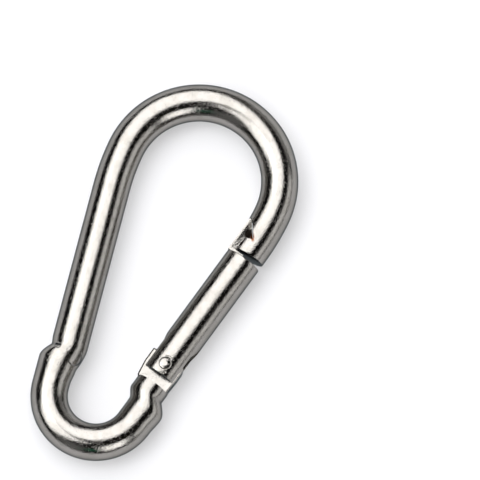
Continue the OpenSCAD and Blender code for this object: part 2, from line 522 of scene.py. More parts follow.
@dataclass
class HookBar(Piece):
    """The hook: one round bar bent into a big bow and a small eye, with a pressed tongue and a slotted nose.

    Places along the legs are measured upwards from the rivet's height, and reaches from the leg's line.
    """

    claw: ClawSizes
    ease_r: float = 67.5 * MM
    # Faces round the bar, and rings along each stretch
    sides: int = 64
    nose_rings: int = 4
    ease_rings: int = 12
    bow_rings: int = 64
    spine_rings: int = 32
    press_rings: int = 36
    heel_rings: int = 3
    eye_rings: int = 52
    # Nose
    nose_straight: float = 2.3 * MM
    nose_slant: float = math.radians(5)
    nose_round: float = 0.45 * MM
    claw_clear: float = 0.2 * MM
    # Crank in the spine: where each side of the bar steps out, and the step's length or depth
    crank_top: float = -4.0 * MM
    crank_foot: float = -17.5 * MM
    outer_crease: float = -7.0 * MM
    outer_rise: float = 4.2 * MM
    inner_start: float = -6.5 * MM
    inner_crease: float = -13.0 * MM
    inner_drop: float = 1.8 * MM
    inner_power: float = 1.5
    pinch: float = 0.25 * MM
    # Crank under the gate, where the bar is pressed narrower towards the tongue
    hinge_outer_crease: float = -9.5 * MM
    hinge_outer_rise: float = 4.4 * MM
    hinge_inner_crease: float = -10.2 * MM
    hinge_inner_rise: float = 3.6 * MM
    hinge_inner_reach: float = 4.9 * MM
    hinge_pinch_len: float = 9.0 * MM
    heel_bulge: float = 0.4 * MM
    heel_bulge_len: float = 5.0 * MM
    # Tongue: reaches of its inner and outer edge, its top and its corners, and a chamfer as (width, depth)
    shoulder: float = -6.5 * MM
    tongue_t: float = 5.0 * MM
    tongue_root: float = 1.0 * MM
    tongue_sink: float = 0.2 * MM
    tongue_neck: float = 5.1 * MM
    tongue_inner: float = 5.8 * MM
    tongue_cheek: float = 4.9 * MM
    tongue_outer: float = 5.3 * MM
    tongue_top: float = 4.2 * MM
    tongue_swell: float = 4.6 * MM
    tongue_corner: float = 3.6 * MM
    tongue_heel: Point = (-5.8 * MM, 2.4 * MM)
    cam_corner: float = 3.2 * MM
    tongue_chamfer: Point = (0.4 * MM, 0.3 * MM)

    def heel_step(self) -> float:
        """Returns how far the bar beside the small eye lies outside the leg's line."""
        return self.lines.outward(self.lines.eye_side())

    def eye_end(self) -> float:
        """Returns where the small eye's arc ends along the leg."""
        return self.lines.along(self.lines.eye_side())

    def ease_end(self) -> Vector:
        """Returns where the easing arc under the big bow ends, on the gate's side."""
        lines = self.lines
        x = lines.bow_r - self.ease_r * (1 - math.cos(lines.lean))
        return Vector((x, lines.bow_y - self.ease_r * math.sin(lines.lean), lines.pivot.z))

    def nose(self) -> float:
        """Returns where the nose's end face crosses the gate's line."""
        return self.lines.along(self.ease_end()) - self.nose_straight

    def on_nose(self, co: Vector) -> bool:
        """Says whether a vertex lies on the outer edge of the nose's end face."""
        past = self.lines.along(co) - self.nose() - self.lines.outward(co) * math.tan(self.nose_slant)
        return self.lines.on_skin(co) and abs(past) < 2 * ON

    def spine_outer(self, place: float) -> float:
        """Works out the outer side of the spine's crank.

        Args:
            place: place along the leg.

        Returns:
            The bar's outer reach there.
        """
        step = sudden((self.outer_crease - place) / self.outer_rise)
        pinch = ease((self.crank_top - place) / (self.crank_top - self.outer_crease))
        return self.lines.bar_r + self.heel_step() * step - self.pinch * pinch * (1 - step)

    def spine_inner(self, place: float) -> float:
        """Works out the inner side of the spine's crank.

        Args:
            place: place along the leg.

        Returns:
            The bar's inner reach there.
        """
        gone = clamp((self.inner_start - place) / (self.inner_start - self.inner_crease))
        rest = ease((self.inner_crease - place) / (self.inner_crease - self.crank_foot))
        drop = self.inner_drop * gone**self.inner_power
        return self.lines.bar_r - drop - (self.heel_step() - self.inner_drop) * rest

    def hinge_outer(self, place: float) -> float:
        """Works out the outer side of the crank under the gate.

        Args:
            place: place along the leg.

        Returns:
            The bar's outer reach there.
        """
        step = sudden((self.hinge_outer_crease - place) / self.hinge_outer_rise)
        bulge = ease((place - self.eye_end()) / self.heel_bulge_len) * step
        return self.lines.bar_r + self.heel_step() * step + self.heel_bulge * bulge

    def hinge_inner(self, place: float) -> float:
        """Works out the inner side of the crank under the gate.

        Args:
            place: place along the leg.

        Returns:
            The bar's inner reach there.
        """
        step = ease((self.hinge_inner_crease - place) / self.hinge_inner_rise)
        pinched = ease((place - self.eye_end()) / self.hinge_pinch_len)
        pinch = (self.lines.bar_r - self.hinge_inner_reach) * pinched
        return self.lines.bar_r - pinch * (1 - step) - self.heel_step() * step

    def bar(self) -> bpy.types.Object:
        """Draws the bar from the nose over the bow, down the spine, round the small eye and up to the gate.

        Returns:
            The bar without its tongue and notch, and a little too long at the nose.
        """
        lines = self.lines
        spare = 2 * lines.bar_r * math.tan(self.nose_slant)
        start = self.ease_end() - (self.nose_straight + spare) * lines.up
        pen = BarPen.start("hook_bar", start, -lines.lean, lines.bar_r, self.sides)
        pen.run(self.nose_straight + spare, self.nose_rings)
        pen.bend_left(self.ease_r, lines.lean, self.ease_rings)
        pen.bend_left(lines.bow_r, math.pi, self.bow_rings)
        pen.bend_left(self.ease_r, lines.lean, self.ease_rings)
        pen.run(lines.along(self.ease_end()) - self.crank_top, self.spine_rings)
        pen.press(
            self.crank_top - self.crank_foot,
            self.press_rings,
            lambda gone: self.spine_outer(self.crank_top - gone),
            lambda gone: self.spine_inner(self.crank_top - gone),
        )
        foot = self.eye_end()
        pen.run(self.crank_foot - foot, self.heel_rings)
        pen.bend_left(lines.eye_r, math.pi - 2 * lines.lean, self.eye_rings)
        step = self.heel_step()
        pen.press(
            self.shoulder - foot,
            self.press_rings,
            lambda gone: self.hinge_outer(foot + gone) - step,
            lambda gone: self.hinge_inner(foot + gone) + step,
        )
        return pen.close()

    def tongue(self) -> bpy.types.Object:
        """Builds the flat tongue that the gate turns on.

        Returns:
            The tongue, with a chamfer round both faces and its root inside the bar.
        """
        root = self.shoulder - self.tongue_root
        neck = self.shoulder - self.tongue_sink
        swell = self.shoulder + self.tongue_swell
        corner = self.tongue_corner
        cam = self.cam_corner
        # Corners as (outward, along), from the root up the inner edge and down the outer one
        points: list[Point] = [
            (-self.tongue_neck + self.tongue_root, root),
            (-self.tongue_neck, neck),
            (-self.tongue_inner, swell),
            self.tongue_heel,
        ]
        points += arc_points((cam - self.tongue_cheek, self.tongue_top - cam), cam, 150, 90, 8)
        points += arc_points((self.tongue_outer - corner, self.tongue_top - corner), corner, 90, 0, 10)
        points += [
            (self.tongue_outer, swell),
            (self.tongue_neck, neck),
            (self.tongue_neck - self.tongue_root, root),
        ]
        chamfer, sink = self.tongue_chamfer
        half = self.tongue_t / 2 - sink
        outline = [self.lines.at(up, out, -half) for out, up in points]
        piece = slab("tongue", outline, Vector((0, 0, 2 * half)))
        for side in (1, -1):
            level = self.lines.pivot.z + side * half
            select_parts(piece, Part.FACES, lambda co, level=level: abs(co.z - level) < ON)
            bpy.ops.mesh.inset(thickness=chamfer, depth=sink)
        object_mode()
        return piece

    def notch(self) -> bpy.types.Object:
        """Builds the solid that cuts the nose's end face and the notch for the gate's claw.

        Returns:
            The cutting solid, which stands out of the bar on all sides.
        """
        claw, clear, bar_r = self.claw, self.claw_clear, self.lines.bar_r
        over = 2 * MM
        far = -bar_r - over
        flank = claw.shank + clear - bar_r
        deep = claw.reach + clear - bar_r
        nose = self.nose()
        rim = nose - claw.gap
        catch = rim + claw.catch
        tip = rim + claw.tip + clear
        slope = math.tan(self.nose_slant)
        wide = 1.5 * bar_r
        low = nose - 2 * bar_r
        # Corners as (outward, along)
        points = [
            (-wide, low),
            (wide, low),
            (wide, nose + wide * slope),
            (flank, nose + flank * slope),
            (flank, catch - clear),
            (deep, catch + claw.catch_slope - clear),
            (deep, catch + claw.edge + clear),
            (far + claw.tip_w + over, tip),
            (far, tip),
            (far, low),
        ]
        outline = [self.lines.at(up, out, -2 * bar_r) for out, up in points]
        return slab("notch", outline, Vector((0, 0, 4 * bar_r)))

    def build(self) -> bpy.types.Object:
        """Builds the whole bar.

        Returns:
            The hook's bar with its tongue and nose.
        """
        piece = self.bar()
        combine(piece, self.tongue(), Join.FUSE)
        combine(piece, self.notch(), Join.CUT)
        break_edges(piece, self.nose_round, 4, self.on_nose)
        finish_mesh(piece)
        return piece


# ---------------------------------------------------------------------------------------------
# The gate


@dataclass
class SleeveGate(Piece):
    """The gate: a tube with a closed end, two slots that straddle the tongue, and a claw on its rim."""

    claw: ClawSizes
    rim: float
    # Faces round the tube. Their edges stay clear of the slots' sides, because a cut that runs along an
    # edge, as with 96 faces, comes out broken in some runs
    sides: int = 100
    outer_rings: int = 40
    inner_rings: int = 36
    wall: float = 1.4 * MM
    below: float = 3.2 * MM
    corner_r: float = 6.0 * MM
    # Closed end, and the play that the spring has under it
    cap_sink: float = 1.0 * MM
    cap_t: float = 2.0 * MM
    spring_play: float = 0.05 * MM
    # Slots
    slot_h: float = 5.5 * MM
    slot_full: float = 6.3 * MM
    slot_taper: float = 2.8 * MM
    slot_end_h: float = 2.2 * MM
    # Claw: the bright strip along its outside, the two slopes and the narrow land between them
    foot_reach: float = 4.9 * MM
    strip_w: float = 0.6 * MM
    land_at: float = 1.7 * MM
    land_w: float = 0.25 * MM
    claw_fall: float = math.tan(math.radians(20))
    slope_start: float = 0.03 * MM
    # Rounded edges
    end_round: float = 0.55 * MM
    rim_round: float = 0.3 * MM
    # Dimples for the rivet's heads
    hole_r: float = 1.4 * MM
    dimple_floor: float = 4.6 * MM
    dimple_r: float = 1.85 * MM
    dimple_draft: float = 0.12
    # Marks that the riveting punch left beside the upper head: an arc and three dents, as (along, outward)
    arc_r: float = 2.25 * MM
    arc_from: float = math.radians(73)
    arc_turn: float = math.radians(78)
    arc_level: float = 5.62 * MM
    mark_r: float = 0.34 * MM
    dents: tuple[Point, ...] = ((-1.3 * MM, 1.3 * MM), (-2.1 * MM, 1.65 * MM), (-2.75 * MM, 1.3 * MM))
    dent_r: float = 0.5 * MM
    dent_sink: float = 0.28 * MM
    # How far a cutting solid stands out of what it cuts
    over: float = 1.0 * MM

    def closed_end(self) -> float:
        """Returns where the inner face of the closed end lies, along the gate."""
        return self.rim - self.cap_sink - self.cap_t

    def spring_top(self) -> float:
        """Returns where the spring ends under the closed end."""
        return self.closed_end() - self.spring_play

    def ring_at(self, place: float) -> Test:
        """Returns a test for the vertices that lie at this height along the gate."""
        return lambda co: abs(self.lines.along(co) - place) < ON

    def on_rim(self, co: Vector) -> bool:
        """Says whether a vertex lies on the outer edge of the gate's rim."""
        return self.lines.on_skin(co) and self.ring_at(self.rim)(co)

    def on_end(self, co: Vector) -> bool:
        """Says whether a vertex lies on the outer edge of the gate's lower end.

        Args:
            co: place of the vertex.

        Returns:
            Whether it lies there.
        """
        up, out = self.lines.along(co), self.lines.outward(co)
        on_arc = abs(math.hypot(up, out) - self.corner_r) < 3 * ON and up < 0
        return self.lines.on_skin(co) and (on_arc or self.ring_at(-self.below)(co))

    def turn_in(self, place: float) -> None:
        """Extrudes the selected ring inwards by the wall's thickness.

        Args:
            place: place of the ring along the gate.
        """
        inner = (self.lines.bar_r - self.wall) / self.lines.bar_r
        bpy.ops.mesh.extrude_region_move(TRANSFORM_OT_translate={"value": (0, 0, 0)})
        bpy.ops.transform.resize(value=(inner,) * 3, center_override=self.lines.at(place, 0))

    def tube(self) -> bpy.types.Object:
        """Draws the tube's outside up to the rim, turns it in to the closed end, and draws its inside.

        Returns:
            The tube, with its lower end cut square.
        """
        lines = self.lines
        start = lines.at(-self.below, 0)
        pen = BarPen.start("sleeve_gate", start, -lines.lean, lines.bar_r, self.sides)
        pen.run(self.rim + self.below, self.outer_rings)
        self.turn_in(self.rim)
        bpy.ops.mesh.extrude_region_move(TRANSFORM_OT_translate={"value": -self.cap_sink * lines.up})
        bpy.ops.mesh.edge_face_add()
        select_parts(pen.piece, Part.EDGES, self.ring_at(-self.below))
        self.turn_in(-self.below)
        pen.run(self.closed_end() + self.below, self.inner_rings)
        return pen.close()

    def plan(self) -> bpy.types.Object:
        """Builds the solid that rounds the tube's lower corners about the rivet.

        Returns:
            The solid, of which the gate keeps what both have.
        """
        far = self.rim + self.claw.tip
        points = arc_points((0, 0), self.corner_r, 180, 360, 60)
        points += [(self.corner_r, far), (-self.corner_r, far)]
        low = -2 * self.lines.bar_r
        outline = [self.lines.at(up, out, low) for out, up in points]
        return slab("plan", outline, Vector((0, 0, -2 * low)))

    def slots(self) -> bpy.types.Object:
        """Builds the solid that cuts both slots.

        Returns:
            The cutting solid, right through the gate.
        """
        half = self.slot_h / 2
        end_r = self.slot_end_h / 2
        end = self.slot_full + self.slot_taper
        low = -2 * self.below
        # Corners as (along, above)
        points = [(low, -half), (self.slot_full, -half)]
        points += arc_points((end, 0), end_r, -90, 90, 12)
        points += [(self.slot_full, half), (low, half)]
        reach = 2 * self.lines.bar_r
        outline = [self.lines.at(up, -reach, above) for up, above in points]
        return slab("slots", outline, 2 * reach * self.lines.out)

    def claw_plate(self) -> bpy.types.Object:
        """Builds the claw that hooks into the nose.

        Returns:
            The claw with its root inside the gate's closed end.
        """
        claw = self.claw
        inner = -self.lines.bar_r
        tip = self.rim + claw.tip
        catch = self.rim + claw.catch
        foot = self.rim + claw.foot
        root = self.rim - self.cap_sink - self.cap_t / 2
        inside = inner + self.wall / 2
        # Corners as (outward, along)
        points = [
            (inner, self.rim),
            (inner, tip),
            (inner + claw.tip_w, tip),
            (inner + claw.reach, catch + claw.edge),
            (inner + claw.reach, catch + claw.catch_slope),
            (inner + claw.shank, catch),
            (inner + claw.shank, foot),
            (inner + self.foot_reach, foot),
            (inner + self.foot_reach, root),
            (inside, root),
            (inside, self.rim),
        ]
        outline = [self.lines.at(up, out, -claw.thick / 2) for out, up in points]
        piece = slab("claw", outline, Vector((0, 0, claw.thick)))
        for side in (1, -1):
            combine(piece, self.claw_slope(side, foot), Join.CUT)
        return piece

    def claw_slope(self, side: int, start: float) -> bpy.types.Object:
        """Builds the solid that slopes one face of the claw, with a land between its two slopes.

        Args:
            side: 1 for the upper face, -1 for the lower one.
            start: where the slope starts, along the gate.

        Returns:
            The cutting solid.
        """
        inner = -self.lines.bar_r
        top = self.claw.thick / 2
        land = top - self.claw_fall * (self.land_at - self.strip_w)
        low = land - self.claw_fall * (self.claw.reach + self.over - self.land_at - self.land_w)
        # Corners as (outward, above)
        points = [
            (inner + self.strip_w - self.over, top + 2 * self.over),
            (inner + self.strip_w - self.over, top + self.over * self.claw_fall),
            (inner + self.land_at, land),
            (inner + self.land_at + self.land_w, land),
            (inner + self.claw.reach + self.over, low),
            (inner + self.claw.reach + self.over, top + 2 * self.over),
        ]
        outline = [self.lines.at(start + self.slope_start, out, side * above) for out, above in points]
        return slab("claw_slope", outline, (self.claw.tip + self.over) * self.lines.up)

    def dimple(self, side: int) -> bpy.types.Object:
        """Builds the solid that sinks a dimple for one head of the rivet.

        Args:
            side: 1 for the upper face of the tube, -1 for the lower one.

        Returns:
            The cutting solid.
        """
        object_mode()
        depth = self.lines.bar_r - self.dimple_floor + self.over
        radii = (self.dimple_r, self.dimple_r + self.dimple_draft * depth)
        bpy.ops.mesh.primitive_cone_add(
            vertices=64,
            radius1=radii[0] if side > 0 else radii[1],
            radius2=radii[1] if side > 0 else radii[0],
            depth=depth,
            location=self.lines.at(0, 0, side * (self.dimple_floor + depth / 2)),
        )
        return name_new("dimple")

    def punch_arc(self) -> bpy.types.Object:
        """Builds the solid that presses the arc beside the rivet's upper head.

        Returns:
            The cutting solid.
        """
        up, out = self.arc_r * math.sin(self.arc_from), self.arc_r * math.cos(self.arc_from)
        start = self.lines.at(up, out, self.arc_level)
        pen = BarPen.start("punch_arc", start, self.arc_from - self.lines.lean, self.mark_r, 16)
        pen.bend_left(self.arc_r, self.arc_turn, 14)
        return pen.close()

    def punch_dent(self, up: float, out: float) -> bpy.types.Object:
        """Builds the ball that presses one small dent.

        Args:
            up: place of the dent along the gate.
            out: how far outside the gate's line it is.

        Returns:
            The cutting solid.
        """
        object_mode()
        skin = math.sqrt(self.lines.bar_r**2 - out**2)
        middle = self.lines.at(up, out, skin + self.dent_r - self.dent_sink)
        bpy.ops.mesh.primitive_uv_sphere_add(segments=24, ring_count=12, radius=self.dent_r, location=middle)
        return name_new("punch_dent")

    def hole(self) -> bpy.types.Object:
        """Builds the solid that drills the rivet's hole.

        Returns:
            The cutting solid.
        """
        object_mode()
        bpy.ops.mesh.primitive_cylinder_add(
            vertices=48, radius=self.hole_r, depth=3 * self.lines.bar_r, location=self.lines.pivot
        )
        return name_new("hole")

    def build(self) -> bpy.types.Object:
        """Builds the gate in one piece.

        Returns:
            The gate.
        """
        piece = self.tube()
        combine(piece, self.plan(), Join.KEEP_COMMON)
        break_edges(piece, self.rim_round, 3, self.on_rim)
        break_edges(piece, self.end_round, 4, self.on_end)
        combine(piece, self.slots(), Join.CUT)
        combine(piece, self.claw_plate(), Join.FUSE)
        combine(piece, self.hole(), Join.CUT)
        for side in (1, -1):
            combine(piece, self.dimple(side), Join.CUT)
        combine(piece, self.punch_arc(), Join.CUT)
        for up, out in self.dents:
            combine(piece, self.punch_dent(up, out), Join.CUT)
        finish_mesh(piece)
        return piece


# ---------------------------------------------------------------------------------------------
# The rivet


@dataclass
class PivotRivet(Piece):
    """The rivet that the gate turns on, upset to a low head on both sides."""

    shank_r: float = 1.4 * MM
    head_low: float = 4.65 * MM
    # The head's rings, as (radius, height over the middle plane)
    head: tuple[Point, ...] = (
        (1.72 * MM, 4.65 * MM),
        (1.72 * MM, 4.78 * MM),
        (1.52 * MM, 4.96 * MM),
        (0.7 * MM, 5.2 * MM),
    )
    # Low enough to keep the head's rings apart, which gives it its thin crescents of shadow
    smooth_angle: float = math.radians(12)

    def build(self) -> bpy.types.Object:
        """Turns the shank and draws out a low dome with a broken edge at each end.

        Returns:
            The rivet.
        """
        object_mode()
        bpy.ops.mesh.primitive_cylinder_add(
            vertices=64, radius=self.shank_r, depth=2 * self.head_low, location=self.lines.pivot
        )
        piece = name_new("pivot_rivet")
        for side in (1, -1):
            low = self.lines.pivot.z + side * self.head_low
            select_parts(piece, Part.FACES, lambda co, low=low: abs(co.z - low) < ON)
            centre = self.lines.at(0, 0, side * self.head_low)
            radius, level = self.shank_r, self.head_low
            for next_radius, next_level in self.head:
                rise = side * (next_level - level)
                grow = next_radius / radius
                bpy.ops.mesh.extrude_region_move(TRANSFORM_OT_translate={"value": (0, 0, rise)})
                bpy.ops.transform.resize(value=(grow, grow, 1), center_override=centre)
                radius, level = next_radius, next_level
        finish_mesh(piece, self.smooth_angle)
        return piece


# ---------------------------------------------------------------------------------------------
# The spring


@dataclass
class CoilSpring(Piece):
    """The spring that pushes the plunger against the tongue: round wire, with its two end turns closed."""

    high: float
    low: float = 5.9 * MM
    wire_d: float = 1.2 * MM
    coil_r: float = 3.3 * MM
    turns: int = 12
    steps: int = 20
    sides: int = 10
    smooth_angle: float = math.radians(50)

    def rise(self, turn: float) -> float:
        """Works out the wire's climb: by its own thickness in each end turn, and evenly between them.

        Args:
            turn: how many turns have been wound.

        Returns:
            How far the wire has risen.
        """
        pitch = (self.high - self.low - 3 * self.wire_d) / (self.turns - 2)
        open_turns = min(max(turn - 1, 0.0), self.turns - 2)
        return self.wire_d * (min(turn, 1.0) + max(turn - self.turns + 1, 0.0)) + pitch * open_turns

    def build(self) -> bpy.types.Object:
        """Winds the wire upright about the origin, then lays it in the gate.

        Returns:
            The spring.
        """
        object_mode()
        bpy.ops.mesh.primitive_circle_add(
            vertices=self.sides,
            radius=self.wire_d / 2,
            location=(self.coil_r, 0, self.low + self.wire_d / 2),
            rotation=(math.pi / 2, 0, 0),
        )
        piece = name_new("coil_spring")
        bpy.ops.object.mode_set(mode="EDIT")
        bpy.ops.mesh.select_mode(type="EDGE")
        bpy.ops.mesh.select_all(action="SELECT")
        for step in range(self.turns * self.steps):
            climb = self.rise((step + 1) / self.steps) - self.rise(step / self.steps)
            bpy.ops.mesh.extrude_region_move(TRANSFORM_OT_translate={"value": (0, 0, climb)})
            bpy.ops.transform.rotate(value=math.tau / self.steps, orient_axis="Z", center_override=(0, 0, 0))
        bpy.ops.mesh.select_all(action="SELECT")
        bpy.ops.mesh.fill_holes(sides=0)
        hold(piece)
        piece.rotation_euler = self.lines.up.to_track_quat("Z", "Y").to_euler()
        piece.location = self.lines.pivot
        bpy.ops.object.transform_apply(location=True, rotation=True, scale=False)
        finish_mesh(piece, self.smooth_angle)
        return piece

    def compress(self, piece: bpy.types.Object) -> None:
        """Gives the spring a mesh of its own, which stays at its full length."""
        self.lines.at(self.high, 0)
        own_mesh(piece)


# ---------------------------------------------------------------------------------------------
# Finishes


def linear(code: str) -> tuple[float, float, float, float]:
    """Turns an sRGB hex colour into a linear one with full alpha."""
    parts = [int(code[at : at + 2], 16) / 255 for at in (1, 3, 5)]
    return (*(c / 12.92 if c <= 0.04045 else ((c + 0.055) / 1.055) ** 2.4 for c in parts), 1.0)


def per_mm(size: float) -> float:
    """Returns the scale of a noise or voronoi pattern whose cells are this many millimetres wide."""
    return 1 / (size * MM)


@dataclass
class Finish:
    """A material's nodes, and the one way of adding to them."""

    name: str
    material: bpy.types.Material = field(init=False)
    shader: bpy.types.Node = field(init=False)

    def __post_init__(self) -> None:
        """Starts the material."""
        self.material = bpy.data.materials.new(self.name)
        self.material.use_nodes = True
        self.shader = self.material.node_tree.nodes["Principled BSDF"]

    def add(
        self, kind: str, links: dict[str | int, object] | None = None, **settings: object
    ) -> bpy.types.Node:
        """Adds a node.

        Args:
            kind: the node's type, without its ShaderNode prefix.
            links: for each input's name or place, another node's output socket or a plain value.
            settings: properties of the node.

        Returns:
            The node.
        """
        node = self.material.node_tree.nodes.new("ShaderNode" + kind)
        for key, value in settings.items():
            setattr(node, key, value)
        for key, value in (links or {}).items():
            if isinstance(value, bpy.types.NodeSocket):
                self.material.node_tree.links.new(value, node.inputs[key])
            else:
                node.inputs[key].default_value = value
        return node

    def feed(self, socket: str, output: Socket) -> None:
        """Links an output to one of the shader's sockets."""
        self.material.node_tree.links.new(output, self.shader.inputs[socket])


@dataclass(frozen=True)
class Patch:
    """A place where the hook's skin is marked: an ellipse in its plane, right through the hook.

    The turn is that of its long axis, in radians. Blur is the softness of its border and ragged how far
    the border strays, both in shares of the half-axes.
    """

    centre: Vector
    turn: float
    half_long: float
    half_wide: float
    blur: float
    ragged: float = 0.0
    stray_mm: float = 0.5
    # A raised patch fades out between these places along its long axis, where -1 and 1 are its ends
    fade: Point = (-0.7, 0.8)

    def local(self, finish: Finish, place: Socket) -> Socket:
        """Measures from the ellipse's centre, in half-axes, with X along the long one.

        Args:
            finish: the material.
            place: the point on the hook.

        Returns:
            The point's place in the ellipse.
        """
        size = (self.half_long, self.half_wide, 1.0)
        inputs = {"Vector": place, "Location": self.centre, "Rotation": (0, 0, self.turn), "Scale": size}
        return finish.add("Mapping", inputs, vector_type="TEXTURE").outputs["Vector"]

    def inside(self, finish: Finish, place: Socket) -> Socket:
        """Tells the inside of the ellipse from the outside.

        Args:
            finish: the material.
            place: the point on the hook.

        Returns:
            1 inside and 0 outside, with a border as soft and ragged as the patch says.
        """
        reach = finish.add("VectorMath", {0: self.local(finish, place)}, operation="LENGTH").outputs["Value"]
        stray = finish.add("TexNoise", {"Vector": place, "Scale": per_mm(self.stray_mm), "Detail": 2.0})
        width = {"To Min": -self.ragged, "To Max": self.ragged}
        offset = finish.add("MapRange", {"Value": stray.outputs["Fac"], **width}).outputs["Result"]
        total = finish.add("Math", {0: reach, 1: offset}, operation="ADD").outputs["Value"]
        border = {"From Min": 1 - self.blur, "From Max": 1 + self.blur, "To Min": 1.0, "To Max": 0.0}
        return finish.add("MapRange", {"Value": total, **border}).outputs["Result"]

    def raised(self, finish: Finish, place: Socket) -> Socket:
        """Makes a plateau of the ellipse.

        Args:
            finish: the material.
            place: the point on the hook.

        Returns:
            Its height, 1 inside the ellipse and fading out towards the far end of its long axis.
        """
        along = finish.add("SeparateXYZ", {"Vector": self.local(finish, place)}).outputs["X"]
        ends = {"From Min": self.fade[0], "From Max": self.fade[1], "To Min": 1.0, "To Max": 0.0}
        fading = finish.add("MapRange", {"Value": along, **ends}, interpolation_type="SMOOTHSTEP")
        both = {0: self.inside(finish, place), 1: fading.outputs["Result"]}
        return finish.add("Math", both, operation="MULTIPLY").outputs["Value"]


@dataclass(frozen=True)
class PlatedSteel:
    """Steel that was drawn, bent and pressed, then polished in a tumbler and nickel plated.

    The plate is a warm bright grey and nearly a mirror, so the eye reads it by its crisp black and white
    bands. Slight waves from the tumbler make the bands' edges wander. A fine grain, small pits that the
    plate didn't fill and faint handling scratches break the edges up into specks.
    """

    name: str = "bright_nickel_plate"
    colour: str = "#96938f"
    dull_colour: str = "#908d88"
    edge_tint: str = "#7c858a"
    smooth: float = 0.09
    dull: float = 0.15
    # Sizes of the patterns in millimetres, with the pits as (cell, depth). The real grain, pits and
    # scratches are finer, and are drawn as coarse as they need to show
    cloud_mm: float = 3.0
    wave_mm: float = 5.0
    wave_height_mm: float = 0.01
    grain_mm: float = 0.42
    grain_height_mm: float = 0.046
    pits_mm: tuple[Point, ...] = ((0.5, 0.036), (0.3, 0.02))
    pit_width: float = 0.4
    scratch_mm: float = 0.5
    scratch_long: float = 14.0
    scratch_height_mm: float = 0.003
    scratch_turns: Point = (math.radians(-12), math.radians(63))
    # Values of a pattern between which it goes from none to full
    clouded: Point = (0.42, 0.68)
    pitted: Point = (0.3, 0.9)
    scratched: Point = (0.62, 0.72)
    # Marks of the bending die, rust where the plate cracked, and painted shade: dark patches in the notch and
    # along the gap beside the claw, where shade falls
    die_marks: tuple[Patch, ...] = ()
    die_height_mm: float = 0.7
    rust: tuple[Patch, ...] = ()
    rust_colour: str = "#6e3d17"
    # Painted shade: a near-black colour laid where shade falls, in the notch and along the gap beside the
    # claw
    painted_shade: tuple[Patch, ...] = ()
    painted_shade_colour: str = "#1c1815"
    # Roughness of the rust and of the painted shade
    rust_and_shade_roughness: float = 0.45

    def pits(self, finish: Finish, place: Socket, size: float) -> Socket:
        """Makes a scatter of round pits of different depths.

        Args:
            finish: the material.
            place: the point on the hook.
            size: width of the cells that hold a pit each, in millimetres.

        Returns:
            The share of the full depth.
        """
        cells = finish.add("TexVoronoi", {"Vector": place, "Scale": per_mm(size)})
        cone = {"From Min": 0.0, "From Max": self.pit_width, "To Min": 1.0, "To Max": 0.0}
        round_pit = finish.add("MapRange", {"Value": cells.outputs["Distance"], **cone}).outputs["Result"]
        pick = finish.add("SeparateColor", {"Color": cells.outputs["Color"]}).outputs["Red"]
        limits = {"From Min": self.pitted[0], "From Max": self.pitted[1]}
        chosen = finish.add("MapRange", {"Value": pick, **limits}).outputs["Result"]
        return finish.add("Math", {0: round_pit, 1: chosen}, operation="MULTIPLY").outputs["Value"]

    def scratches(self, finish: Finish, place: Socket, turn: float) -> Socket:
        """Makes thin lines along one direction of the hook's plane.

        Args:
            finish: the material.
            place: the point on the hook.
            turn: direction of the lines, in radians.

        Returns:
            1 in the lines and 0 between them.
        """
        across = per_mm(self.scratch_mm)
        scale = (across, across / self.scratch_long, across)
        stretch = finish.add("Mapping", {"Vector": place, "Rotation": (0, 0, turn), "Scale": scale})
        pattern = {"Vector": stretch.outputs["Vector"], "Scale": 1.0, "Detail": 2.0, "Roughness": 0.7}
        lines = finish.add("TexNoise", pattern).outputs["Fac"]
        limits = {"From Min": self.scratched[0], "From Max": self.scratched[1]}
        return finish.add("MapRange", {"Value": lines, **limits}).outputs["Result"]

    def tone(self, finish: Finish, place: Socket) -> None:
        """Feeds the colour and the roughness: clouds of dulled plate, then rust and painted shade over them.

        Args:
            finish: the material.
            place: the point on the hook.
        """
        clouds = finish.add("TexNoise", {"Vector": place, "Scale": per_mm(self.cloud_mm), "Detail": 4.0})
        limits = {"From Min": self.clouded[0], "From Max": self.clouded[1]}
        worn = finish.add("MapRange", {"Value": clouds.outputs["Fac"], **limits}).outputs["Result"]
        ends = {"To Min": self.smooth, "To Max": self.dull}
        rough = finish.add("MapRange", {"Value": worn, **ends}).outputs["Result"]
        plate = {0: worn, 6: linear(self.colour), 7: linear(self.dull_colour)}
        colour = finish.add("Mix", plate, data_type="RGBA").outputs[2]
        # Rust, then painted shade: a near-black colour where shade falls in the notch and along the claw's
        # gap
        for patches, rust_and_shade_colour in ((self.rust, self.rust_colour), (self.painted_shade, self.painted_shade_colour)):
            for patch in patches:
                mask = patch.inside(finish, place)
                colour = finish.add("Mix", {0: mask, 6: colour, 7: linear(rust_and_shade_colour)}, data_type="RGBA").outputs[2]
                rough = finish.add("Mix", {0: mask, 2: rough, 3: self.rust_and_shade_roughness}).outputs[0]
        finish.feed("Roughness", rough)
        finish.feed("Base Color", colour)

    def relief(self, finish: Finish, place: Socket) -> None:
        """Feeds the normal: each pattern with its height in millimetres, below zero where it is sunk.

        Args:
            finish: the material.
            place: the point on the hook.
        """
        waves = finish.add("TexNoise", {"Vector": place, "Scale": per_mm(self.wave_mm), "Detail": 2.0})
        grain = finish.add("TexNoise", {"Vector": place, "Scale": per_mm(self.grain_mm), "Detail": 3.0})
        layers = [(waves.outputs["Fac"], self.wave_height_mm), (grain.outputs["Fac"], self.grain_height_mm)]
        layers += [(self.pits(finish, place, size), -depth) for size, depth in self.pits_mm]
        for turn in self.scratch_turns:
            layers.append((self.scratches(finish, place, turn), -self.scratch_height_mm))
        layers += [(patch.raised(finish, place), self.die_height_mm) for patch in self.die_marks]
        normal: dict[str, Socket] = {}
        for pattern, height in layers:
            inputs = {"Height": pattern, "Distance": abs(height) * MM, "Strength": 1.0, **normal}
            normal = {"Normal": finish.add("Bump", inputs, invert=height < 0).outputs["Normal"]}
        finish.feed("Normal", normal["Normal"])

